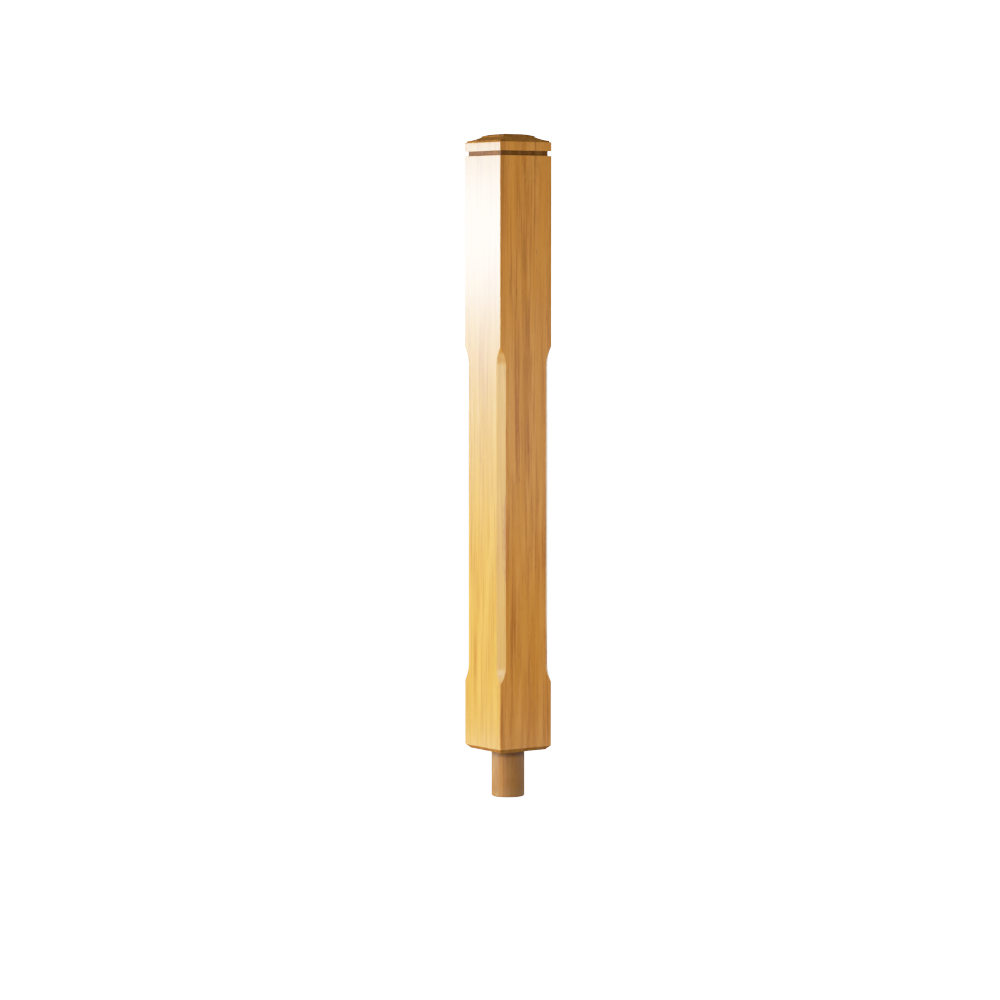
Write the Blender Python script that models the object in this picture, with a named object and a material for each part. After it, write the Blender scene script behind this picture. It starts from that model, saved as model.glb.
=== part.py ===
"""Square oak newel post with stop-chamfered arrises, a grooved cap and a turned spigot.

Metres, +Z up. The origin is on the post's axis, in the plane of the flat shoulder that seats
on the newel base. The spigot hangs below it, and the faces of the post look along X and Y.
"""
import math

import bmesh
import bpy

# Square body, from the foot upwards
SIDE = 0.091                 # across the flat faces
ARRIS_EASE = 0.001           # radius sanded on the long arrises
FOOT_BEVEL = 0.006           # bevel at 45 degrees between the faces and the shoulder
BASE_BLOCK = 0.0935          # foot of the faces to the tips of the lower stops
FOOT_TO_TOP_STOPS = 0.583    # foot of the faces to the tips of the upper stops
TOP_BLOCK = 0.275            # tips of the upper stops to the groove

# Stopped chamfers on the four long arrises
CHAMFER_LEG = 0.010          # width taken off each face at a chamfer
CHAMFER_EDGE_EASE = 0.0008   # radius sanded on the two edges of a chamfer
STOP_LENGTH = 0.0275         # length of the concave run-out at each end of a chamfer

# Groove and band under the crown
GROOVE_HEIGHT = 0.0065
GROOVE_DEPTH = 0.004
GROOVE_EDGE_EASE = 0.0005
BAND_HEIGHT = 0.0135         # flush square band between the groove and the crown
BAND_EDGE_EASE = 0.0015

# Moulded crown, in order from its outer edge to its flat top
CROWN_SETBACK = 0.0025       # flat ledge between the band's face and the crown's fillet
FILLET_RISE = 0.002
COVE_RISE = 0.0055
COVE_SAG = 0.0008            # how far the cove hollows below a straight slope
TABLE_WIDTH = 0.056          # across the square raised table inside the cove
TABLE_STEP = 0.0013          # small upright step round the table
DOME_RISE = 0.0032           # shallow dome of the table above its step
TOP_FLAT = 0.020             # across the flat at the very top
HIP_EASE = 0.0006            # radius on the crown's hips and in the groove's corners

# Turned spigot
SPIGOT_DIAMETER = 0.0485
SPIGOT_LENGTH = 0.069        # shoulder to the end of the spigot
SPIGOT_END_EASE = 0.002

# Fineness of the faceted surface
ARC_POINTS = 3               # points on each half of a rounded arris
STOP_STEPS = 10
MOULDING_STEPS = 5
SPIGOT_SIDES = 48
MERGE_DISTANCE = 1e-6

OAK_COLOUR = (0.56, 0.31, 0.11)
OAK_ROUGHNESS = 0.38

# Heights that follow from the sizes above
FACE_FOOT_Z = FOOT_BEVEL
LOWER_STOP_Z = FACE_FOOT_Z + BASE_BLOCK
UPPER_STOP_Z = FACE_FOOT_Z + FOOT_TO_TOP_STOPS
GROOVE_Z = UPPER_STOP_Z + TOP_BLOCK
BAND_Z = GROOVE_Z + GROOVE_HEIGHT
CROWN_Z = BAND_Z + BAND_HEIGHT
HALF = SIDE / 2


def clear_scene():
    for old in list(bpy.data.objects):
        bpy.data.objects.remove(old, do_unlink=True)


def make_wood(name, colour, roughness):
    material = bpy.data.materials.new(name)
    material.use_nodes = True
    shader = material.node_tree.nodes["Principled BSDF"]
    shader.inputs["Base Color"].default_value = (*colour, 1.0)
    shader.inputs["Roughness"].default_value = roughness
    shader.inputs["Metallic"].default_value = 0.0
    material.diffuse_color = (*colour, 1.0)
    return material


def arc(centre, radius, start, end, count):
    """Points on an arc seen from a sharp corner: (0, 0) is the corner, and both axes run into the wood."""
    points = []
    for step in range(count):
        angle = start + (end - start) * step / (count - 1)
        points.append((centre[0] - radius * math.cos(angle), centre[1] - radius * math.sin(angle)))
    return points


def corner_profile(ease, leg):
    """One corner of the section, from its X face to its Y face, as depths in from the two faces.

    A corner is rounded to the radius ease. A chamfer whose legs are leg long cuts across it: while
    the legs are short it only flattens the middle of the round, and past it the chamfer has two
    edges of its own, which are eased in their turn.
    """
    right_angle = math.pi / 2
    if leg < ease:
        reach = math.sqrt(2) - leg / (math.sqrt(2) * ease)
        half_flat = math.acos(min(1.0, reach))
        first = arc((ease, ease), ease, 0.0, right_angle / 2 - half_flat, ARC_POINTS)
        second = arc((ease, ease), ease, right_angle / 2 + half_flat, right_angle, ARC_POINTS)
        return first + second
    edge = min(CHAMFER_EDGE_EASE, leg - ease)
    setback = leg + edge * (math.sqrt(2) - 1)
    first = arc((edge, setback), edge, 0.0, right_angle / 2, ARC_POINTS)
    second = arc((setback, edge), edge, right_angle / 2, right_angle, ARC_POINTS)
    return first + second


def square_ring(half, ease, leg=0.0):
    """The closed outline of a square section with its four corners, counter-clockwise."""
    points = []
    for quarter in range(4):
        cosine = round(math.cos(quarter * math.pi / 2))
        sine = round(math.sin(quarter * math.pi / 2))
        for depth_x, depth_y in corner_profile(ease, leg):
            x = half - depth_x
            y = half - depth_y
            points.append((x * cosine - y * sine, x * sine + y * cosine))
    return points


def chamfer_leg(run):
    """Leg of the chamfer at a distance run from the foot of its stop, where the hollow begins.

    The stop is an arc that leaves the chamfer without a break and comes out at the arris.
    """
    depth = CHAMFER_LEG / math.sqrt(2)
    radius = (STOP_LENGTH ** 2 + depth ** 2) / (2 * depth)
    remaining = depth - (radius - math.sqrt(radius ** 2 - run ** 2))
    return max(0.0, remaining) * math.sqrt(2)


def body_sections():
    """Sections of the square body from the shoulder to the groove, as height and outline."""
    sections = [
        (0.0, square_ring(HALF - FOOT_BEVEL, ARRIS_EASE)),
        (FACE_FOOT_Z, square_ring(HALF, ARRIS_EASE)),
    ]
    for step in range(STOP_STEPS, -1, -1):
        run = STOP_LENGTH * step / STOP_STEPS
        sections.append((LOWER_STOP_Z + STOP_LENGTH - run, square_ring(HALF, ARRIS_EASE, chamfer_leg(run))))
    for step in range(STOP_STEPS + 1):
        run = STOP_LENGTH * step / STOP_STEPS
        sections.append((UPPER_STOP_Z - STOP_LENGTH + run, square_ring(HALF, ARRIS_EASE, chamfer_leg(run))))
    return sections


def groove_sections():
    """Sections through the groove and the band above it."""
    core = HALF - GROOVE_DEPTH
    sections = [
        (GROOVE_Z - GROOVE_EDGE_EASE, square_ring(HALF, ARRIS_EASE)),
        (GROOVE_Z, square_ring(HALF - GROOVE_EDGE_EASE, ARRIS_EASE)),
        (GROOVE_Z, square_ring(core, HIP_EASE)),
        (BAND_Z, square_ring(core, HIP_EASE)),
        (BAND_Z, square_ring(HALF - GROOVE_EDGE_EASE, ARRIS_EASE)),
        (BAND_Z + GROOVE_EDGE_EASE, square_ring(HALF, ARRIS_EASE)),
    ]
    for step in range(MOULDING_STEPS):
        angle = math.pi / 2 * step / (MOULDING_STEPS - 1)
        rise = BAND_EDGE_EASE * (math.sin(angle) - 1)
        inset = BAND_EDGE_EASE * (1 - math.cos(angle))
        sections.append((CROWN_Z + rise, square_ring(HALF - inset, ARRIS_EASE)))
    return sections


def crown_sections():
    """Sections of the crown: ledge, fillet, cove, table step and dome."""
    fillet_half = HALF - CROWN_SETBACK
    cove_z = CROWN_Z + FILLET_RISE
    table_z = cove_z + COVE_RISE
    table_half = TABLE_WIDTH / 2
    sections = [(CROWN_Z, square_ring(fillet_half, HIP_EASE))]
    for step in range(MOULDING_STEPS + 1):
        share = step / MOULDING_STEPS
        height = cove_z + COVE_RISE * share - COVE_SAG * 4 * share * (1 - share)
        sections.append((height, square_ring(fillet_half + (table_half - fillet_half) * share, HIP_EASE)))
    dome_z = table_z + TABLE_STEP
    dome_run = table_half - TOP_FLAT / 2
    dome_radius = (dome_run ** 2 + DOME_RISE ** 2) / (2 * DOME_RISE)
    for step in range(MOULDING_STEPS + 1):
        run = dome_run * (1 - step / MOULDING_STEPS)
        drop = dome_radius - math.sqrt(dome_radius ** 2 - run ** 2)
        sections.append((dome_z + DOME_RISE - drop, square_ring(TOP_FLAT / 2 + run, HIP_EASE)))
    return sections


def spigot_sections():
    """Sections of the spigot from the shoulder down to the flat of its eased end."""
    radius = SPIGOT_DIAMETER / 2
    sections = [(0.0, round_ring(radius))]
    for step in range(MOULDING_STEPS):
        angle = math.pi / 2 * step / (MOULDING_STEPS - 1)
        drop = SPIGOT_END_EASE * (math.sin(angle) - 1)
        inset = SPIGOT_END_EASE * (1 - math.cos(angle))
        sections.append((-SPIGOT_LENGTH - drop, round_ring(radius - inset)))
    return sections


def round_ring(radius):
    points = []
    for side in range(SPIGOT_SIDES):
        angle = 2 * math.pi * side / SPIGOT_SIDES
        points.append((radius * math.cos(angle), radius * math.sin(angle)))
    return points


def skin(mesh_edit, sections):
    """Join each section to the next with faces and close the last one, which is flat."""
    rings = []
    for height, outline in sections:
        rings.append([mesh_edit.verts.new((x, y, height)) for x, y in outline])
    for lower, upper in zip(rings, rings[1:]):
        count = len(lower)
        for index in range(count):
            following = (index + 1) % count
            mesh_edit.faces.new((lower[index], lower[following], upper[following], upper[index]))
    mesh_edit.faces.new(rings[-1])


def close_shoulder(mesh_edit):
    """Fill the flat shoulder between the bevelled foot and the spigot, the two rims still open."""
    rim = [edge for edge in mesh_edit.edges if edge.is_boundary]
    bmesh.ops.triangle_fill(mesh_edit, use_beauty=True, use_dissolve=False, edges=rim)


def make_newel_post(material):
    mesh_edit = bmesh.new()
    skin(mesh_edit, body_sections() + groove_sections() + crown_sections())
    skin(mesh_edit, spigot_sections())
    bmesh.ops.remove_doubles(mesh_edit, verts=mesh_edit.verts, dist=MERGE_DISTANCE)
    close_shoulder(mesh_edit)
    bmesh.ops.recalc_face_normals(mesh_edit, faces=mesh_edit.faces)
    mesh = bpy.data.meshes.new("newel_post")
    mesh_edit.to_mesh(mesh)
    mesh_edit.free()
    mesh.materials.append(material)
    mesh.shade_smooth()
    mesh.set_sharp_from_angle(angle=math.radians(30))
    post = bpy.data.objects.new("newel_post", mesh)
    bpy.context.collection.objects.link(post)
    return post


clear_scene()
make_newel_post(make_wood("lacquered_oak", OAK_COLOUR, OAK_ROUGHNESS))
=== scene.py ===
# %% [markdown]
# A square oak newel post, the post that a handrail and its spindles end on. It is cut from one
# blank of oak: square at both ends, with the long corners between them planed off into chamfers
# that run out in hollow stops, a saw-cut groove and a low moulded crown at the top, and a round
# spigot turned on the foot that drops into a drilled base. The finish is a clear satin lacquer
# that lets the straight grain show. This file builds the post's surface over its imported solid,
# paints the oak, and lights it as in a product picture.

import math

import bmesh
import bpy
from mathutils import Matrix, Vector


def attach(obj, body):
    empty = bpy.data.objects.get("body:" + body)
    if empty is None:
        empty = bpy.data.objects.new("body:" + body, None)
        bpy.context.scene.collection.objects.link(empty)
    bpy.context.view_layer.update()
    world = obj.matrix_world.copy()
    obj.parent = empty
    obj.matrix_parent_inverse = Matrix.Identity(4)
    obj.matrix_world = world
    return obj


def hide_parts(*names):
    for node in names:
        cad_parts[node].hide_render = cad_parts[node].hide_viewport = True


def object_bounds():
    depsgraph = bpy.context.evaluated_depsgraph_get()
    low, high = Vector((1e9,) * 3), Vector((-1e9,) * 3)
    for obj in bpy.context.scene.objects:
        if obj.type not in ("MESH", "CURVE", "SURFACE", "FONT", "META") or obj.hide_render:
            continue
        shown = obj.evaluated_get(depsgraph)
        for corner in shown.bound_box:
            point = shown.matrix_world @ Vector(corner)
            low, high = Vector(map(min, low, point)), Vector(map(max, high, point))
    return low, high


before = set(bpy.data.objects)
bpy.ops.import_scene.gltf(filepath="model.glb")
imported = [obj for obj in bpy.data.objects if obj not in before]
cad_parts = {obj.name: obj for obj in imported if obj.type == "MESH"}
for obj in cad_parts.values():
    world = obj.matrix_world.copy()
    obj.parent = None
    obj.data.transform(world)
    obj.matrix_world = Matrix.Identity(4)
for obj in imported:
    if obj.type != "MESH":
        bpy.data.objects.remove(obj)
cad_low, cad_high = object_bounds()
print("CAD box", tuple(round(v, 4) for v in cad_low), tuple(round(v, 4) for v in cad_high))

# %% [markdown]
# The overall sizes come from the solid itself: half its width, its top and the end of its spigot.
# The sizes of the joiner's work on it are the ones on the drawing, in metres, each written once.
# Heights count up from the shoulder, the flat that sits on the newel base.

# %% Sizes of the post
HALF = cad_high[0]
TOP_Z = cad_high[2]
SPIGOT_END_Z = cad_low[2]
FOOT_BEVEL = 0.006
BASE_BLOCK = 0.0935
FOOT_TO_TOP_STOPS = 0.583
TOP_BLOCK = 0.275
ARRIS_EASE = 0.001
CHAMFER_LEG = 0.010
CHAMFER_EDGE_EASE = 0.0008
STOP_LENGTH = 0.0275
GROOVE_HEIGHT = 0.0065
GROOVE_DEPTH = 0.004
BAND_HEIGHT = 0.0135
CROWN_SETBACK = 0.0025
FILLET_RISE = 0.002
COVE_RISE = 0.0055
COVE_SAG = 0.0008
TABLE_HALF = 0.028
TABLE_STEP = 0.0013
TOP_FLAT_HALF = 0.010
HIP_EASE = 0.0006
SPIGOT_RADIUS = 0.02425

LOWER_STOP_Z = FOOT_BEVEL + BASE_BLOCK
UPPER_STOP_Z = FOOT_BEVEL + FOOT_TO_TOP_STOPS
GROOVE_Z = UPPER_STOP_Z + TOP_BLOCK
BAND_Z = GROOVE_Z + GROOVE_HEIGHT
CROWN_Z = BAND_Z + BAND_HEIGHT
COVE_Z = CROWN_Z + FILLET_RISE
TABLE_Z = COVE_Z + COVE_RISE
DOME_Z = TABLE_Z + TABLE_STEP
DOME_RISE = TOP_Z - DOME_Z
print("groove at", round(GROOVE_Z, 4), "crown from", round(CROWN_Z, 4), "dome rise", round(DOME_RISE, 4))

# %% [markdown]
# Node trees get long when every link is written out. Two small classes keep them readable. A Wire
# is one socket, and sums written with wires add Math nodes. A Bench is one tree, and its add
# method makes any other node: its settings are set first, then its sockets get values or links.

# %% Wires and benches
class Wire:
    """One output of a node. Arithmetic on wires adds Math nodes to the wire's tree."""

    def __init__(self, bench, socket):
        self.bench = bench
        self.socket = socket

    def __add__(self, other):
        return self.bench.math("ADD", self, other)

    def __radd__(self, other):
        return self.bench.math("ADD", other, self)

    def __sub__(self, other):
        return self.bench.math("SUBTRACT", self, other)

    def __rsub__(self, other):
        return self.bench.math("SUBTRACT", other, self)

    def __mul__(self, other):
        return self.bench.math("MULTIPLY", self, other)

    def __rmul__(self, other):
        return self.bench.math("MULTIPLY", other, self)

    def __truediv__(self, other):
        return self.bench.math("DIVIDE", self, other)

    def __rtruediv__(self, other):
        return self.bench.math("DIVIDE", other, self)


class Bench:
    """A node tree to build on."""

    def __init__(self, tree):
        self.tree = tree

    def add(self, kind, settings=None, sockets=None, out=0):
        node = self.tree.nodes.new(kind)
        for name, value in (settings or {}).items():
            setattr(node, name, value)
        for key, value in (sockets or {}).items():
            if isinstance(value, Wire):
                self.tree.links.new(value.socket, node.inputs[key])
            else:
                node.inputs[key].default_value = value
        return Wire(self, node.outputs[out]) if len(node.outputs) else node

    def math(self, operation, first, second=0.0):
        return self.add("ShaderNodeMath", {"operation": operation}, {0: first, 1: second})

    def smaller(self, first, second):
        return self.math("MINIMUM", first, second)

    def larger(self, first, second):
        return self.math("MAXIMUM", first, second)

    def clamp(self, value):
        return self.smaller(self.larger(value, 0.0), 1.0)

    def blend(self, share, first, second):
        """From first to second, on plain numbers."""
        return first + (second - first) * share

    def rise(self, value, low, high):
        """A smooth step from 0 at low to 1 at high."""
        settings = {"interpolation_type": "SMOOTHSTEP"}
        return self.add("ShaderNodeMapRange", settings, {0: value, 1: low, 2: high, 3: 0.0, 4: 1.0})

    def colour(self, share, first, second, way="MIX"):
        """Mix two colours. Sockets 6 and 7 take them, and output 2 gives the mixed colour."""
        settings = {"data_type": "RGBA", "blend_type": way}
        return self.add("ShaderNodeMix", settings, {0: share, 6: first, 7: second}, out=2)

    def parts(self, vector):
        """The three numbers in a vector."""
        split = self.add("ShaderNodeSeparateXYZ", sockets={0: vector})
        return [Wire(self, socket) for socket in split.socket.node.outputs]

    def join(self, x, y, z):
        return self.add("ShaderNodeCombineXYZ", sockets={0: x, 1: y, 2: z})


# %% [markdown]
# The camera stands where the picture was taken from: about five metres off, a little above half
# height, looking slightly down at the corner between the narrow left face and the wide right one.
# Its distance, height and lens were solved from the picture's own corners, so it needs no shift.

# %% Camera
CAMERA_AZIMUTH = math.radians(-35.0)
CAMERA_DISTANCE = 5.208
CAMERA_HEIGHT = 0.708
CAMERA_PITCH = math.radians(3.77)
CAMERA_SIDESTEP = -0.0117
FOCAL_PIXELS = 3581
IMAGE_PIXELS = 1000
SENSOR = 36.0


def aim_camera():
    back = Vector((math.sin(CAMERA_AZIMUTH), -math.cos(CAMERA_AZIMUTH), 0.0))
    right = Vector((math.cos(CAMERA_AZIMUTH), math.sin(CAMERA_AZIMUTH), 0.0))
    data = bpy.data.cameras.new("camera")
    data.sensor_width = SENSOR
    data.lens = SENSOR * FOCAL_PIXELS / IMAGE_PIXELS
    data.clip_end = 100.0
    camera = bpy.data.objects.new("camera", data)
    height = Vector((0.0, 0.0, CAMERA_HEIGHT))
    camera.location = back * CAMERA_DISTANCE + right * CAMERA_SIDESTEP + height
    camera.rotation_euler = (math.pi / 2 - CAMERA_PITCH, 0.0, CAMERA_AZIMUTH)
    bpy.context.scene.collection.objects.link(camera)
    bpy.context.scene.camera = camera
    return camera


camera = aim_camera()
print("camera at", tuple(round(v, 3) for v in camera.location), "lens", round(camera.data.lens, 1))

# %% [markdown]
# Oak is a solid pattern, not a picture laid on the faces: the streaks on a face are the growth
# rings of the log cut through, so they run on round the corners and turn into arcs on the crown.
# The pattern here is therefore worked out in the block's own coordinates. The heart of the log
# lies outside the blank, behind its far corner, and each point's distance from it, with a little
# wander, counts the rings.

# %% Growth rings
PITH_X = 0.11
PITH_Y = 0.13
LEAN = 0.010
WANDER = 0.012
RING_WIDTH = 0.0024
RIPPLE_DEPTH = 0.0016
SEASONS_PER_METRE = 70.0
SEASON_SWING = 5.0
NOISE_ROUGHNESS = 0.55

# Each noise is its cells per metre across and along the grain, its detail and its shift.
DRIFT = (9.0, 1.5, 1.0, 0.0)
SWAY = (9.0, 1.7, 1.0, 7.3)
RIPPLE = (60.0, 7.0, 2.0, 3.1)


def noise(bench, place, across, along, detail, shift):
    """Noise stretched along the grain, from 0 to 1 and about a half on average."""
    size = bench.join(across, across, along)
    stretched = bench.add("ShaderNodeVectorMath", {"operation": "MULTIPLY"}, {0: place, 1: size})
    step = (shift, shift, shift)
    moved = bench.add("ShaderNodeVectorMath", {"operation": "ADD"}, {0: stretched, 1: step})
    sockets = {"Vector": moved, "Scale": 1.0, "Detail": detail, "Roughness": NOISE_ROUGHNESS}
    return bench.add("ShaderNodeTexNoise", {"noise_dimensions": "3D"}, sockets)


def count_rings(bench, place):
    """How many rings lie between a point and the heart of the log."""
    x, y, z = bench.parts(place)
    drift = noise(bench, place, *DRIFT) - 0.5
    sway = noise(bench, place, *SWAY) - 0.5
    ripple = noise(bench, place, *RIPPLE) - 0.5
    out_x = PITH_X + LEAN * z + drift * WANDER - x
    out_y = PITH_Y + sway * WANDER - y
    distance = bench.math("SQRT", out_x * out_x + out_y * out_y) + ripple * RIPPLE_DEPTH
    sockets = {"W": distance, "Scale": SEASONS_PER_METRE}
    seasons = bench.add("ShaderNodeTexNoise", {"noise_dimensions": "1D"}, sockets)
    return distance / RING_WIDTH + seasons * SEASON_SWING


print("rings across the blank's diagonal", round(2 * HALF * math.sqrt(2) / RING_WIDTH))

# %% [markdown]
# Each ring starts with a band of wide vessels, the spring wood, and ends in dense summer wood.
# Cut along the grain the vessels are short dark scratches, and cut across it they are dots, which
# the same stretched noise gives on every face. Slower noise adds the streaks and the warm and pale
# patches, and flat lens shapes across the rings are the rays that flash on oak. End grain soaks up
# more lacquer and goes darker, so the shade also follows how far the surface looks up or down.

# %% Oak pattern
VESSELS = (2300.0, 70.0, 1.0, 1.7)
LATE_VESSELS = (1500.0, 45.0, 1.0, 5.9)
STREAKS = (290.0, 11.0, 2.0, 2.3)
BANDS = (110.0, 4.5, 2.0, 6.6)
PATCHES = (58.0, 6.0, 2.0, 9.1)
RAYS = (560.0, 24.0, 1.0, 4.4)

# Each edge is where a mask starts to rise and where it is full.
SPRING_EDGE = (0.10, 0.62)
VESSEL_EDGE = (0.58, 0.68)
LATE_VESSEL_EDGE = (0.66, 0.74)
RAY_EDGE = (0.62, 0.74)
END_GRAIN_EDGE = (0.25, 0.70)
CREEP = 0.0002               # how far a dark end or groove creeps past its sharp edge
FADE = 0.0006                # and over what length the groove's shade fades
CROWN_FADE = 0.0010
# Painted shade: the groove's recess is darkened in the colour itself.
PAINTED_GROOVE_SHADE = (0.38, 0.35, 0.30, 1.0)


def oak_pattern(bench):
    """The masks that both woods are painted from, all from 0 to 1."""
    place = bench.add("ShaderNodeTexCoord", out="Object")
    ring = bench.math("FRACT", count_rings(bench, place))
    spring = 1.0 - bench.rise(ring, *SPRING_EDGE)
    vessels = bench.rise(noise(bench, place, *VESSELS), *VESSEL_EDGE)
    late = bench.rise(noise(bench, place, *LATE_VESSELS), *LATE_VESSEL_EDGE)
    streaks = noise(bench, place, *STREAKS)
    bands = noise(bench, place, *BANDS)
    patches = noise(bench, place, *PATCHES)
    rays = bench.rise(noise(bench, place, *RAYS), *RAY_EDGE)
    normal = bench.add("ShaderNodeNewGeometry", out="Normal")
    upright = bench.parts(normal)[2]
    x, y, z = bench.parts(place)
    crown = bench.rise(z, CROWN_Z - CROWN_FADE, CROWN_Z + CREEP)
    end_grain = bench.larger(bench.rise(upright * upright, *END_GRAIN_EDGE), crown)
    across = bench.larger(bench.math("ABSOLUTE", x), bench.math("ABSOLUTE", y))
    above = bench.rise(z, GROOVE_Z - FADE, GROOVE_Z + CREEP)
    beneath = 1.0 - bench.rise(z, BAND_Z - CREEP, BAND_Z + FADE)
    groove = above * beneath * (1.0 - bench.rise(across, HALF - 2 * FADE, HALF - CREEP))
    return {
        "place": place,
        "groove": groove,
        "spring": spring,
        "pores": bench.clamp(vessels * spring + late * 0.5),
        "streaks": streaks,
        "bands": bands,
        "patches": patches,
        "rays": rays,
        "end": end_grain,
    }


print("oak pattern with end grain from", CROWN_Z, "upwards")

# %% [markdown]
# The paint is laid in the order in which the eye finds it: first a tone between pale and deep
# wood, then golden patches, pale ray flecks, dark vessels, the darker ends, and last a painted
# shade in the groove.

# %% Painting the wood
MIDDLE_TONE = 0.36
SPRING_TONE = 0.16
STREAK_SWING = 1.8
BAND_SWING = 2.7
PATCH_EDGE = (0.42, 0.64)
PATCH_SHARE = 0.55
RAY_SHARE = 0.45
PORE_SHARE = 0.65
PORE_DEPTH = 0.0002


def make_oak(name, pale, deep, golden, pore_shade, end_shade):
    """Start a wood: its material, its bench and its painted colour."""
    material = bpy.data.materials.new(name)
    material.use_nodes = True
    bench = Bench(material.node_tree)
    masks = oak_pattern(bench)
    swing = (masks["streaks"] - 0.5) * STREAK_SWING + (masks["bands"] - 0.5) * BAND_SWING
    tone = bench.clamp(MIDDLE_TONE + masks["spring"] * SPRING_TONE + swing)
    wood = bench.colour(tone, pale, deep)
    wood = bench.colour(bench.rise(masks["patches"], *PATCH_EDGE) * PATCH_SHARE, wood, golden)
    wood = bench.colour(masks["rays"] * RAY_SHARE, wood, pale)
    wood = bench.colour(masks["pores"] * PORE_SHARE, wood, pore_shade, "MULTIPLY")
    wood = bench.colour(masks["end"], wood, end_shade, "MULTIPLY")
    # Painted shade in the groove's recess.
    wood = bench.colour(masks["groove"], wood, PAINTED_GROOVE_SHADE, "MULTIPLY")
    return material, bench, masks, wood


def lay_relief(bench, height, strength):
    sockets = {"Strength": strength, "Distance": PORE_DEPTH, "Height": height}
    return bench.add("ShaderNodeBump", sockets=sockets)


print("vessels sink", PORE_DEPTH * 1000, "mm at full strength")

# %% [markdown]
# The body has a clear satin lacquer: a thin coat over the wood that gives the broad soft glare on
# the lit face. The vessels are not quite filled, so they are a little rougher and sink slightly.

# %% Lacquered oak
PALE_OAK = (0.75, 0.345, 0.056, 1.0)
DEEP_OAK = (0.48, 0.172, 0.008, 1.0)
GOLDEN_OAK = (0.68, 0.29, 0.018, 1.0)
PORE_SHADE = (0.52, 0.42, 0.30, 1.0)
END_SHADE = (0.59, 0.57, 0.44, 1.0)
LACQUER_ROUGHNESS = 0.26
LACQUER_IOR = 1.5
WOOD_ROUGHNESS = 0.46
WOOD_SPECULAR = 0.2
GROOVE_DULLING = 0.90
BODY_RELIEF = 0.25


def lacquered_oak():
    material, bench, masks, wood = make_oak(
        "lacquered_oak", PALE_OAK, DEEP_OAK, GOLDEN_OAK, PORE_SHADE, END_SHADE)
    shader = material.node_tree.nodes["Principled BSDF"]
    soaked = bench.larger(masks["end"], masks["groove"])
    roughness = WOOD_ROUGHNESS + masks["pores"] * 0.16 + (masks["streaks"] - 0.5) * 0.12 + soaked * 0.25
    coat = 1.0 - bench.larger(masks["end"], masks["groove"] * GROOVE_DULLING)
    relief = lay_relief(bench, 1.0 - masks["pores"] * 0.8 + masks["streaks"] * 0.3, BODY_RELIEF)
    bench.tree.links.new(wood.socket, shader.inputs["Base Color"])
    bench.tree.links.new(roughness.socket, shader.inputs["Roughness"])
    bench.tree.links.new(relief.socket, shader.inputs["Normal"])
    bench.tree.links.new(coat.socket, shader.inputs["Coat Weight"])
    shader.inputs["Specular IOR Level"].default_value = WOOD_SPECULAR
    shader.inputs["Coat Roughness"].default_value = LACQUER_ROUGHNESS
    shader.inputs["Coat IOR"].default_value = LACQUER_IOR
    return material


lacquer = lacquered_oak()
print("lacquered oak has", len(lacquer.node_tree.nodes), "nodes")

# %% [markdown]
# The spigot is glued into its base, so it is left bare as it came off the lathe: duller, rougher
# and browner than the body, with the faint rings that a turning gouge leaves round it. Its root
# carries a painted shadow of the shoulder, and its end is paler with painted light from the floor.

# %% Bare turned oak
PALE_BARE = (0.455, 0.215, 0.056, 1.0)
DEEP_BARE = (0.29, 0.118, 0.026, 1.0)
GOLDEN_BARE = (0.39, 0.173, 0.036, 1.0)
BARE_PORE_SHADE = (0.58, 0.48, 0.36, 1.0)
BARE_END_SHADE = (0.80, 0.74, 0.66, 1.0)
# Painted shadow: the shoulder's shadow on the spigot's root is painted into its colour.
PAINTED_SHOULDER_SHADOW = (0.52, 0.45, 0.41, 1.0)
SHOULDER_SHADOW_EDGE = (-0.012, -0.005)
# Painted light: the spigot's end is paled for the light the floor throws up at it.
PAINTED_TIP_LIGHT = (0.62, 0.42, 0.24, 1.0)
TIP_LIGHT_LENGTH = 0.020
TIP_LIGHT_SHARE = 0.14
GOUGE_MARKS_PER_METRE = 900.0
BARE_ROUGHNESS = 0.38
BARE_RELIEF = 0.35


def bare_oak():
    material, bench, masks, wood = make_oak(
        "bare_oak", PALE_BARE, DEEP_BARE, GOLDEN_BARE, BARE_PORE_SHADE, BARE_END_SHADE)
    shader = material.node_tree.nodes["Principled BSDF"]
    height = bench.parts(masks["place"])[2]
    sockets = {"W": height, "Scale": GOUGE_MARKS_PER_METRE}
    marks = bench.add("ShaderNodeTexNoise", {"noise_dimensions": "1D"}, sockets)
    # Painted shadow: the spigot's root is darkened where the shoulder's shadow falls.
    root = bench.rise(height, *SHOULDER_SHADOW_EDGE)
    # Painted light: the end is paled towards the floor, for the light the floor throws up.
    tip = 1.0 - bench.rise(height, SPIGOT_END_Z, SPIGOT_END_Z + TIP_LIGHT_LENGTH)
    wood = bench.colour(root, wood, PAINTED_SHOULDER_SHADOW, "MULTIPLY")
    wood = bench.colour(tip * TIP_LIGHT_SHARE, wood, PAINTED_TIP_LIGHT)
    relief = lay_relief(bench, marks * 0.8 - masks["pores"] * 0.8, BARE_RELIEF)
    roughness = BARE_ROUGHNESS + masks["pores"] * 0.15 + (marks - 0.5) * 0.10
    bench.tree.links.new(wood.socket, shader.inputs["Base Color"])
    bench.tree.links.new(roughness.socket, shader.inputs["Roughness"])
    bench.tree.links.new(relief.socket, shader.inputs["Normal"])
    return material


bare = bare_oak()
print("bare oak has", len(bare.node_tree.nodes), "nodes")

# %% [markdown]
# In elevation the post is a single outline from the middle of its flat top, out over the crown,
# down the face and in again to the end of the spigot. It is drawn as corners, and each corner has
# the radius that sandpaper or the moulding knife leaves.

# %% Rounding the corners of the outline
ARC_STEPS = 5
SUPPORT = 0.0005


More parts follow.
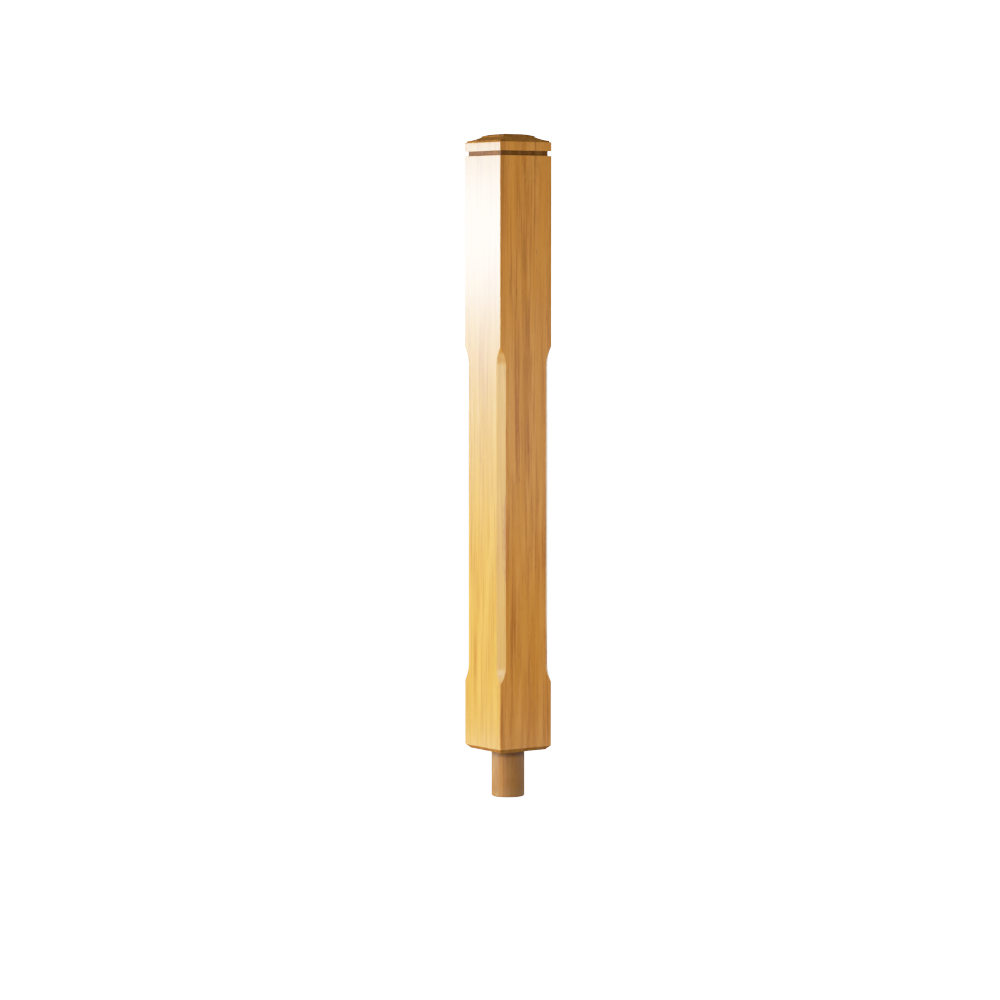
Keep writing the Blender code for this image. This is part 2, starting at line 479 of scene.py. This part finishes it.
def round_corner(before, corner, after, radius):
    """Replace a corner by an arc, with a support point just outside each end of it."""
    here = Vector(corner)
    back_way = Vector(before) - here
    fore_way = Vector(after) - here
    turn = back_way.angle(fore_way)
    reach = radius / math.tan(turn / 2)
    back_unit = back_way.normalized()
    fore_unit = fore_way.normalized()
    centre = here + (back_unit + fore_unit).normalized() * (radius / math.sin(turn / 2))
    start = here + back_unit * reach - centre
    end = here + fore_unit * reach - centre
    sweep = start.angle(end)
    points = []
    for step in range(ARC_STEPS + 1):
        share = step / ARC_STEPS
        arm = start * math.sin(sweep * (1 - share)) + end * math.sin(sweep * share)
        points.append(centre + arm / math.sin(sweep))
    support_back = min(SUPPORT, (back_way.length - reach) / 4)
    support_fore = min(SUPPORT, (fore_way.length - reach) / 4)
    return [points[0] + back_unit * support_back, *points, points[-1] + fore_unit * support_fore]


def draw_outline(corners):
    """Round every corner that has a radius. A corner is half width, height and radius."""
    points = []
    for index, (half, height, radius) in enumerate(corners):
        if radius == 0.0:
            points.append(Vector((half, height)))
            continue
        points += round_corner(corners[index - 1][:2], (half, height), corners[index + 1][:2], radius)
    return points


print("arc steps", ARC_STEPS, "support", SUPPORT)

# %% [markdown]
# The crown is a shallow dome with a small flat, a fine step round it and a hollow slope down to a
# thin fillet. Long flat lengths of the body get a row every centimetre or so, and the stops, where
# the chamfer swings out to nothing, get one every millimetre.

# %% Curves and long lengths
CURVE_STEPS = 10
BODY_ROW = 0.012
STOP_ROW = 0.00115


def dome_points():
    """The shallow dome, from the flat top out to the edge of the table."""
    run = TABLE_HALF - TOP_FLAT_HALF
    radius = (run ** 2 + DOME_RISE ** 2) / (2 * DOME_RISE)
    points = []
    for step in range(CURVE_STEPS):
        out = run * step / CURVE_STEPS
        points.append((TOP_FLAT_HALF + out, TOP_Z - radius + math.sqrt(radius ** 2 - out ** 2), 0.0))
    return points


def cove_points():
    """The hollow slope, from the foot of the table out to the fillet."""
    points = []
    for step in range(1, CURVE_STEPS):
        share = step / CURVE_STEPS
        half = TABLE_HALF + (HALF - CROWN_SETBACK - TABLE_HALF) * share
        points.append((half, TABLE_Z - COVE_RISE * share - COVE_SAG * 4 * share * (1 - share), 0.0))
    return points


def length_points(top, bottom, row):
    """Evenly spaced rows down a flat length, its lower end left out."""
    count = math.ceil((top - bottom) / row)
    return [(HALF, top + (bottom - top) * step / count, 0.0) for step in range(count)]


def body_points():
    """Rows from just under the groove to just over the foot bevel."""
    upper_foot = UPPER_STOP_Z - STOP_LENGTH
    lower_foot = LOWER_STOP_Z + STOP_LENGTH
    rows = length_points(GROOVE_Z - BODY_ROW, UPPER_STOP_Z, BODY_ROW)
    rows += length_points(UPPER_STOP_Z, upper_foot, STOP_ROW)
    rows += length_points(upper_foot, lower_foot, BODY_ROW)
    rows += length_points(lower_foot, LOWER_STOP_Z, STOP_ROW)
    rows += length_points(LOWER_STOP_Z, FOOT_BEVEL + BODY_ROW, BODY_ROW)
    return rows


print("dome", len(dome_points()), "cove", len(cove_points()), "body", len(body_points()), "rows")

# %% Stations down the post
outline = draw_outline([
    (0.0, TOP_Z, 0.0),
    (TOP_FLAT_HALF / 2, TOP_Z, 0.0),
    *dome_points(),
    (TABLE_HALF, DOME_Z, 0.0003),
    (TABLE_HALF, TABLE_Z, 0.0),
    *cove_points(),
    (HALF - CROWN_SETBACK, COVE_Z, 0.0004),
    (HALF - CROWN_SETBACK, CROWN_Z, 0.0),
    (HALF, CROWN_Z, 0.0015),
    (HALF, BAND_Z, 0.0005),
    (HALF - GROOVE_DEPTH, BAND_Z, 0.0),
    (HALF - GROOVE_DEPTH, GROOVE_Z, 0.0),
    (HALF, GROOVE_Z, 0.0005),
    *body_points(),
    (HALF, FOOT_BEVEL, 0.0006),
    (HALF - FOOT_BEVEL, 0.0, 0.0006),
    (SPIGOT_RADIUS, 0.0, 0.0),
    (SPIGOT_RADIUS, SPIGOT_END_Z, 0.002),
    (0.0, SPIGOT_END_Z, 0.0),
])


def arris_radius(half, height):
    """Fine on the crown's hips and in the groove, wider on the sanded arrises of the body."""
    if height > UPPER_STOP_Z and half < HALF - CROWN_SETBACK + 0.0001:
        return HIP_EASE
    return ARRIS_EASE


def is_round(half, height):
    return height < FOOT_BEVEL / 2 and half < SPIGOT_RADIUS + 0.0001


def make_stations(points):
    """A chain of points, one for each row, that carries the row's numbers as attributes."""
    mesh = bpy.data.meshes.new("post_stations")
    mesh.from_pydata([(0.0, 0.0, height) for half, height in points], [], [])
    numbers = {
        "half": [half for half, height in points],
        "arris": [min(arris_radius(half, height), half) for half, height in points],
        "turned": [float(is_round(half, height)) for half, height in points],
    }
    for name, values in numbers.items():
        mesh.attributes.new(name, "FLOAT", "POINT").data.foreach_set("value", values)
    stations = bpy.data.objects.new("post_stations", mesh)
    bpy.context.scene.collection.objects.link(stations)
    return stations


stations = make_stations(outline)
print("stations", len(outline))

# %% [markdown]
# Every section of the post follows one rule, so Geometry Nodes can make all of it: a square whose
# corners are rounded, with a chamfer of a given leg across them, or a circle on the spigot. A grid
# with a row for each station and a ring of columns is bent onto those sections. The columns are
# shared out by quarters, and each quarter by how near it is to the corner: first the flat of the
# chamfer, then the eased edge, then the flat of the face. Bent in this order the faces look
# inwards, so the tree flips them.

# %% Leg of the chamfer at a height
def leg_at(bench, height, sizes):
    """Nothing at the stop's tip, the full leg past its hollow, and an arc between them."""
    depth = sizes["Chamfer leg"] / math.sqrt(2)
    stop = sizes["Stop length"]
    radius = (stop * stop + depth * depth) / (depth * 2.0)
    run_low = sizes["Lower stop"] + stop - height
    run_high = height - (sizes["Upper stop"] - stop)
    run = bench.smaller(bench.larger(bench.larger(run_low, run_high), 0.0), stop)
    drop = radius - bench.math("SQRT", radius * radius - run * run)
    return bench.larger(depth - drop, 0.0) * math.sqrt(2)


# %% One corner of a section
CHORD_SHARE = 1 / 6
ARC_SHARE = 1 / 2


def corner_depths(bench, half, arris, leg, edge_ease, away):
    """Depths in from the two faces at a corner. The value away is 0 on the corner's diagonal and 1
    at the middle of the face. A small leg only flattens the round, and a larger one has two edges
    of its own, which are eased in their turn."""
    flattens = bench.math("LESS_THAN", leg, arris)
    edge = bench.smaller(edge_ease, bench.larger(leg - arris, 0.0))
    reach = math.sqrt(2) - leg / (bench.larger(arris, 1e-6) * math.sqrt(2))
    half_flat = bench.math("ARCCOSINE", bench.clamp(reach))
    ease = bench.blend(flattens, edge, arris)
    setback = bench.blend(flattens, leg + edge * (math.sqrt(2) - 1), arris)
    full_turn = math.pi / 4 - half_flat * flattens

    on_chord = bench.clamp(away / CHORD_SHARE)
    on_arc = bench.clamp((away - CHORD_SHARE) / ARC_SHARE)
    on_face = bench.clamp((away - CHORD_SHARE - ARC_SHARE) / (1 - CHORD_SHARE - ARC_SHARE))
    turn = full_turn * (1.0 - on_arc)
    first = ease - ease * bench.math("COSINE", turn)
    second = setback - ease * bench.math("SINE", turn)
    middle = (first + second) / 2.0
    slack = 1.0 - on_chord
    spread = 1.0 - slack * slack * slack
    first = middle + (first - middle) * spread
    second = middle + (second - middle) * spread
    second = second + on_face * on_face * on_face * (half - setback)
    return first, second


# %% Tree that bends the grid
SEW_DISTANCE = 2e-6
JUST_BELOW_SHOULDER = -1e-5
post_tree = bpy.data.node_groups.new("square_newel", "GeometryNodeTree")
POST_INPUTS = {
    "Stations": "NodeSocketGeometry",
    "Chamfer leg": "NodeSocketFloat",
    "Chamfer edge": "NodeSocketFloat",
    "Stop length": "NodeSocketFloat",
    "Lower stop": "NodeSocketFloat",
    "Upper stop": "NodeSocketFloat",
    "Columns": "NodeSocketInt",
    "Crisp angle": "NodeSocketFloat",
    "Body wood": "NodeSocketMaterial",
    "Spigot wood": "NodeSocketMaterial",
}
for name, kind in POST_INPUTS.items():
    post_tree.interface.new_socket(name=name, in_out="INPUT", socket_type=kind)
post_tree.interface.new_socket(name="Post", in_out="OUTPUT", socket_type="NodeSocketGeometry")


def sample_station(bench, stations_wire, value, row):
    settings = {"data_type": "FLOAT", "domain": "POINT"}
    sockets = {"Geometry": stations_wire, "Value": value, "Index": row}
    return bench.add("GeometryNodeSampleIndex", settings, sockets)


def section_place(bench, sizes, column, row):
    """Where a point of the grid goes."""
    def from_station(name):
        value = bench.add("GeometryNodeInputNamedAttribute", {"data_type": "FLOAT"}, {"Name": name})
        return sample_station(bench, sizes["Stations"], value, row)

    height = sample_station(
        bench, sizes["Stations"], bench.parts(bench.add("GeometryNodeInputPosition"))[2], row)
    half = from_station("half")
    turned = from_station("turned")
    quarters = column * 4.0 / sizes["Columns"]
    quarter = bench.math("FLOOR", quarters)
    share = quarters - quarter
    away = bench.math("ABSOLUTE", 1.0 - share * 2.0)
    leg = leg_at(bench, height, sizes)
    first, second = corner_depths(bench, half, from_station("arris"), leg, sizes["Chamfer edge"], away)
    past_corner = bench.math("GREATER_THAN", share, 0.5)
    x = half - bench.blend(past_corner, first, second)
    y = half - bench.blend(past_corner, second, first)
    angle = quarter * (math.pi / 2)
    cosine = bench.math("COSINE", angle)
    sine = bench.math("SINE", angle)
    round_angle = quarters * (math.pi / 2)
    round_x = half * bench.math("COSINE", round_angle)
    round_y = half * bench.math("SINE", round_angle)
    return bench.join(
        bench.blend(turned, x * cosine - y * sine, round_x),
        bench.blend(turned, x * sine + y * cosine, round_y),
        height)


def build_post_tree(tree):
    bench = Bench(tree)
    entry = bench.add("NodeGroupInput").socket.node
    sizes = {name: Wire(bench, entry.outputs[name]) for name in POST_INPUTS}
    rows = bench.add(
        "GeometryNodeAttributeDomainSize", {"component": "MESH"}, {"Geometry": sizes["Stations"]},
        out="Point Count")
    sockets = {"Vertices X": sizes["Columns"] + 1.0, "Vertices Y": rows}
    grid = bench.add("GeometryNodeMeshGrid", sockets=sockets, out="Mesh")
    index = bench.add("GeometryNodeInputIndex")
    column = bench.math("FLOOR", index / rows)
    place = section_place(bench, sizes, column, index - column * rows)
    bent = bench.add("GeometryNodeSetPosition", sockets={"Geometry": grid, "Position": place})
    sewn = bench.add("GeometryNodeMergeByDistance", sockets={"Geometry": bent, "Distance": SEW_DISTANCE})
    outward = bench.add("GeometryNodeFlipFaces", sockets={"Mesh": sewn})
    sockets = {"Geometry": outward, "Shade Smooth": True}
    smooth = bench.add("GeometryNodeSetShadeSmooth", {"domain": "FACE"}, sockets)
    bend = bench.add("GeometryNodeInputMeshEdgeAngle", out="Unsigned Angle")
    crisp = bench.math("GREATER_THAN", bend, sizes["Crisp angle"])
    sockets = {"Geometry": smooth, "Selection": crisp, "Shade Smooth": False}
    edged = bench.add("GeometryNodeSetShadeSmooth", {"domain": "EDGE"}, sockets)
    body = bench.add("GeometryNodeSetMaterial", sockets={"Geometry": edged, "Material": sizes["Body wood"]})
    height = bench.parts(bench.add("GeometryNodeInputPosition"))[2]
    below = bench.math("LESS_THAN", height, JUST_BELOW_SHOULDER)
    sockets = {"Geometry": body, "Selection": below, "Material": sizes["Spigot wood"]}
    dressed = bench.add("GeometryNodeSetMaterial", sockets=sockets)
    real = bench.add("GeometryNodeRealizeInstances", sockets={"Geometry": dressed})
    bench.add("NodeGroupOutput", sockets={"Post": real})


build_post_tree(post_tree)
print("post tree has", len(post_tree.nodes), "nodes")

# %% [markdown]
# The tree's inputs are set by each socket's identifier before anything is evaluated. Then the
# result is taken off as a plain mesh, and the modifier goes, so the post is one closed skin. Two
# numbers prove it: no open edges, and a volume above zero, which means that faces look outwards.

# %% Oak newel post
COLUMNS = 96
CRISP_ANGLE = math.radians(40)
post_values = {
    "Chamfer leg": CHAMFER_LEG,
    "Chamfer edge": CHAMFER_EDGE_EASE,
    "Stop length": STOP_LENGTH,
    "Lower stop": LOWER_STOP_Z,
    "Upper stop": UPPER_STOP_Z,
    "Columns": COLUMNS,
    "Crisp angle": CRISP_ANGLE,
    "Body wood": lacquer,
    "Spigot wood": bare,
}


def take_off_mesh(maker, tree, values):
    """Run a tree on an object and swap the object's mesh for the result."""
    modifier = maker.modifiers.new("nodes", "NODES")
    modifier.node_group = tree
    for item in tree.interface.items_tree:
        if item.in_out == "INPUT" and item.name in values:
            modifier[item.identifier] = values[item.name]
    evaluated = maker.evaluated_get(bpy.context.evaluated_depsgraph_get())
    mesh = bpy.data.meshes.new_from_object(evaluated)
    maker.modifiers.remove(modifier)
    maker.data = mesh
    return maker


def report_mesh(piece):
    work = bmesh.new()
    work.from_mesh(piece.data)
    open_edges = sum(1 for edge in work.edges if not edge.is_manifold)
    triangles = sum(len(face.verts) - 2 for face in work.faces)
    print(piece.name, "triangles", triangles, "open edges", open_edges,
          "volume in litres", round(work.calc_volume(signed=True) * 1000, 3))
    work.free()


post = take_off_mesh(stations, post_tree, post_values)
post.name = "oak_newel_post"
post.data.name = "oak_newel_post"
report_mesh(post)
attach(post, "root")
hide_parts("newel_post")

# %% [markdown]
# The picture is a cut-out on plain white, so the floor is a pale sheet that is almost white to the
# camera and keeps only a trace of shadow under the post. It lies just under the spigot's end and
# throws soft light up at the faces.

# %% Pale floor
FLOOR_RADIUS = 14.0
FLOOR_GAP = 0.0002
FLOOR_GLOW = 2.05
PAPER = (0.35, 0.34, 0.32, 1.0)
PAPER_ROUGHNESS = 0.9
BLACK = (0.0, 0.0, 0.0, 1.0)
PURE_WHITE = (1.0, 1.0, 1.0, 1.0)


def make_floor():
    material = bpy.data.materials.new("pale_floor")
    material.use_nodes = True
    bench = Bench(material.node_tree)
    shader = material.node_tree.nodes["Principled BSDF"]
    shader.inputs["Base Color"].default_value = PAPER
    shader.inputs["Roughness"].default_value = PAPER_ROUGHNESS
    shader.inputs["Specular IOR Level"].default_value = 0.0
    shader.inputs["Emission Strength"].default_value = FLOOR_GLOW
    seen = bench.add("ShaderNodeLightPath", out="Is Camera Ray")
    glow = bench.colour(seen, BLACK, PURE_WHITE)
    bench.tree.links.new(glow.socket, shader.inputs["Emission Color"])
    mesh = bpy.data.meshes.new("floor")
    work = bmesh.new()
    bmesh.ops.create_circle(work, cap_ends=True, segments=96, radius=FLOOR_RADIUS)
    bmesh.ops.translate(work, verts=work.verts, vec=(0.0, 0.0, SPIGOT_END_Z - FLOOR_GAP))
    work.to_mesh(mesh)
    work.free()
    mesh.materials.append(material)
    floor = bpy.data.objects.new("floor", mesh)
    bpy.context.scene.collection.objects.link(floor)
    return floor


floor = make_floor()
print("floor at", round(SPIGOT_END_Z - FLOOR_GAP, 4))

# %% [markdown]
# The room is a pale sky, dimmer behind the post, so that the faces that turn away from the camera
# fall off in tone. Where the camera itself sees the room past the floor, it is pure white.

# %% Soft room
HORIZON = (0.36, 0.345, 0.31, 1.0)
OVERHEAD = (0.42, 0.40, 0.36, 1.0)
BEHIND = (0.12, 0.115, 0.10, 1.0)
BURNT_WHITE = (3.0, 3.0, 3.0, 1.0)
OVERHEAD_EDGE = (0.15, 0.90)
BEHIND_EDGE = (0.55, 0.95)


def make_room():
    world = bpy.data.worlds.new("soft_room")
    world.use_nodes = True
    bench = Bench(world.node_tree)
    direction = bench.add("ShaderNodeTexCoord", out="Generated")
    east, north, upward = bench.parts(direction)
    sky = bench.colour(bench.rise(upward, *OVERHEAD_EDGE), HORIZON, OVERHEAD)
    away = east * -math.sin(CAMERA_AZIMUTH) + north * math.cos(CAMERA_AZIMUTH)
    sky = bench.colour(bench.rise(away, *BEHIND_EDGE), sky, BEHIND)
    seen = bench.add("ShaderNodeLightPath", out="Is Camera Ray")
    shown = bench.colour(seen, sky, BURNT_WHITE)
    background = world.node_tree.nodes["Background"]
    bench.tree.links.new(shown.socket, background.inputs["Color"])
    bpy.context.scene.world = world


make_room()
print("room lit")

# %% [markdown]
# A soft box is an area lamp. Its brightness is given as radiance, which is how bright its front
# looks, so a box can be moved or made larger without its reflection in the lacquer changing. The
# boxes don't show to the camera, only as light on the wood and as glare on the lacquer.

# %% Soft box
NEUTRAL = (1.0, 1.0, 1.0)
NO_GRID = 180.0


def soft_box(name, place, target, width, height, radiance, tint=NEUTRAL, spread=NO_GRID):
    """A rectangular lamp of a given brightness, turned to face its target. A smaller spread, in
    degrees, stands for a grid on its front, and its power is set so that its axis stays as bright."""
    data = bpy.data.lights.new(name, "AREA")
    data.shape = "RECTANGLE"
    data.size = width
    data.size_y = height
    data.color = tint
    data.energy = radiance * math.pi * width * height
    if spread < NO_GRID:
        half_spread = math.radians(spread / 2)
        data.spread = 2 * half_spread
        data.energy *= 1 - half_spread / math.tan(half_spread)
    lamp = bpy.data.objects.new(name, data)
    lamp.location = place
    lamp.visible_camera = False
    lamp.rotation_euler = (Vector(target) - Vector(place)).to_track_quat("-Z", "Y").to_euler()
    bpy.context.scene.collection.objects.link(lamp)
    return lamp


print("an open box spreads its light over", NO_GRID, "degrees")

# %% [markdown]
# The key stands low on the left, with a grid, and warms the narrow left face from its foot up. A
# bright strip stands higher, where the lacquer of that face mirrors the camera, so the top of the
# face is lost in glare. A weak skirt under the strip lets the glare die away down the face.

# %% Boxes for the left face
WARM = (1.0, 0.98, 0.74)
KEY_GRID = 50.0
soft_box("key_box", (-2.20, 0.93, 0.24), (0.0, 0.0, 0.11), 1.1, 0.6, 32.0, WARM, KEY_GRID)
soft_box("glare_box", (-1.15, 1.64, 0.785), (0.0, 0.0, 0.785), 1.0, 0.24, 30.0)
soft_box("glare_skirt", (-1.15, 1.64, 0.44), (0.0, 0.0, 0.50), 1.0, 0.40, 2.3)
print("key, glare and skirt stand on the left")

# %% [markdown]
# The chamfer looks out between the two faces, so it mirrors boxes of its own: a broad one along
# its length, and a tall narrow one that the hollow of the lower stop bends into a bright spot.
# Weak boxes by the camera and far out to the right lift the wide right face, and one behind it
# shines along the far chamfer, which is seen as a thin pale edge.

# %% Boxes for the chamfer and the right face
CREAM = (1.0, 0.97, 0.90)
PALE_CREAM = (1.0, 0.97, 0.94)
soft_box("chamfer_box", (-2.00, -1.40, 0.45), (0.0, 0.0, 0.35), 0.45, 1.0, 7.6, CREAM)
soft_box("stop_box", (-1.80, -1.26, 1.15), (0.0, 0.0, 0.12), 0.20, 1.4, 13.0, PALE_CREAM)
soft_box("front_box", (-0.45, -1.15, 0.18), (0.0, 0.0, 0.18), 0.7, 0.45, 1.3, CREAM)
soft_box("side_box", (0.80, -1.10, 0.42), (0.0, 0.0, 0.42), 0.5, 0.36, 1.1)
soft_box("right_box", (2.30, -0.60, 0.25), (0.0, 0.0, 0.20), 1.0, 0.8, 4.6)
soft_box("edge_box", (1.90, 1.33, 0.25), (0.0, 0.0, 0.25), 0.8, 0.9, 1.3)
print("six boxes light the chamfer and the right face")

# %% [markdown]
# White paper round the foot would throw light up at the lower block and its bevel. Three lamps
# that lie on the floor and face up stand for it.

# %% Glow from below
GLOW_Z = -0.066


def floor_glow(name, x, y, size, radiance):
    soft_box(name, (x, y, GLOW_Z), (x, y, 1.0), size, size, radiance)


floor_glow("foot_glow_left", -0.22, 0.31, 0.3, 3.2)
floor_glow("foot_glow_right", 0.24, -0.33, 0.3, 1.4)
floor_glow("chamfer_glow", -1.00, -0.70, 0.5, 5.0)

# %% [markdown]
# The picture's bright tones bend over gently before they burn out, as film and most cameras do.
# A tone curve does the same here: it leaves the dark and middle tones alone and folds everything
# up to a little over twice white into the last fifth of the scale.

# %% Response of the camera
BURN_OUT = 2.2
RESPONSE = [(0.30, 0.30), (0.565, 0.558), (1.21, 0.863)]


def set_response():
    settings = bpy.context.scene.view_settings
    settings.view_transform = "Standard"
    settings.look = "None"
    settings.use_curve_mapping = True
    mapping = settings.curve_mapping
    mapping.white_level = (BURN_OUT, BURN_OUT, BURN_OUT)
    curve = mapping.curves[3]
    for scene_light, picture_light in RESPONSE:
        curve.points.new(scene_light / BURN_OUT, picture_light)
    mapping.update()


set_response()
print("response points", len(RESPONSE) + 2)
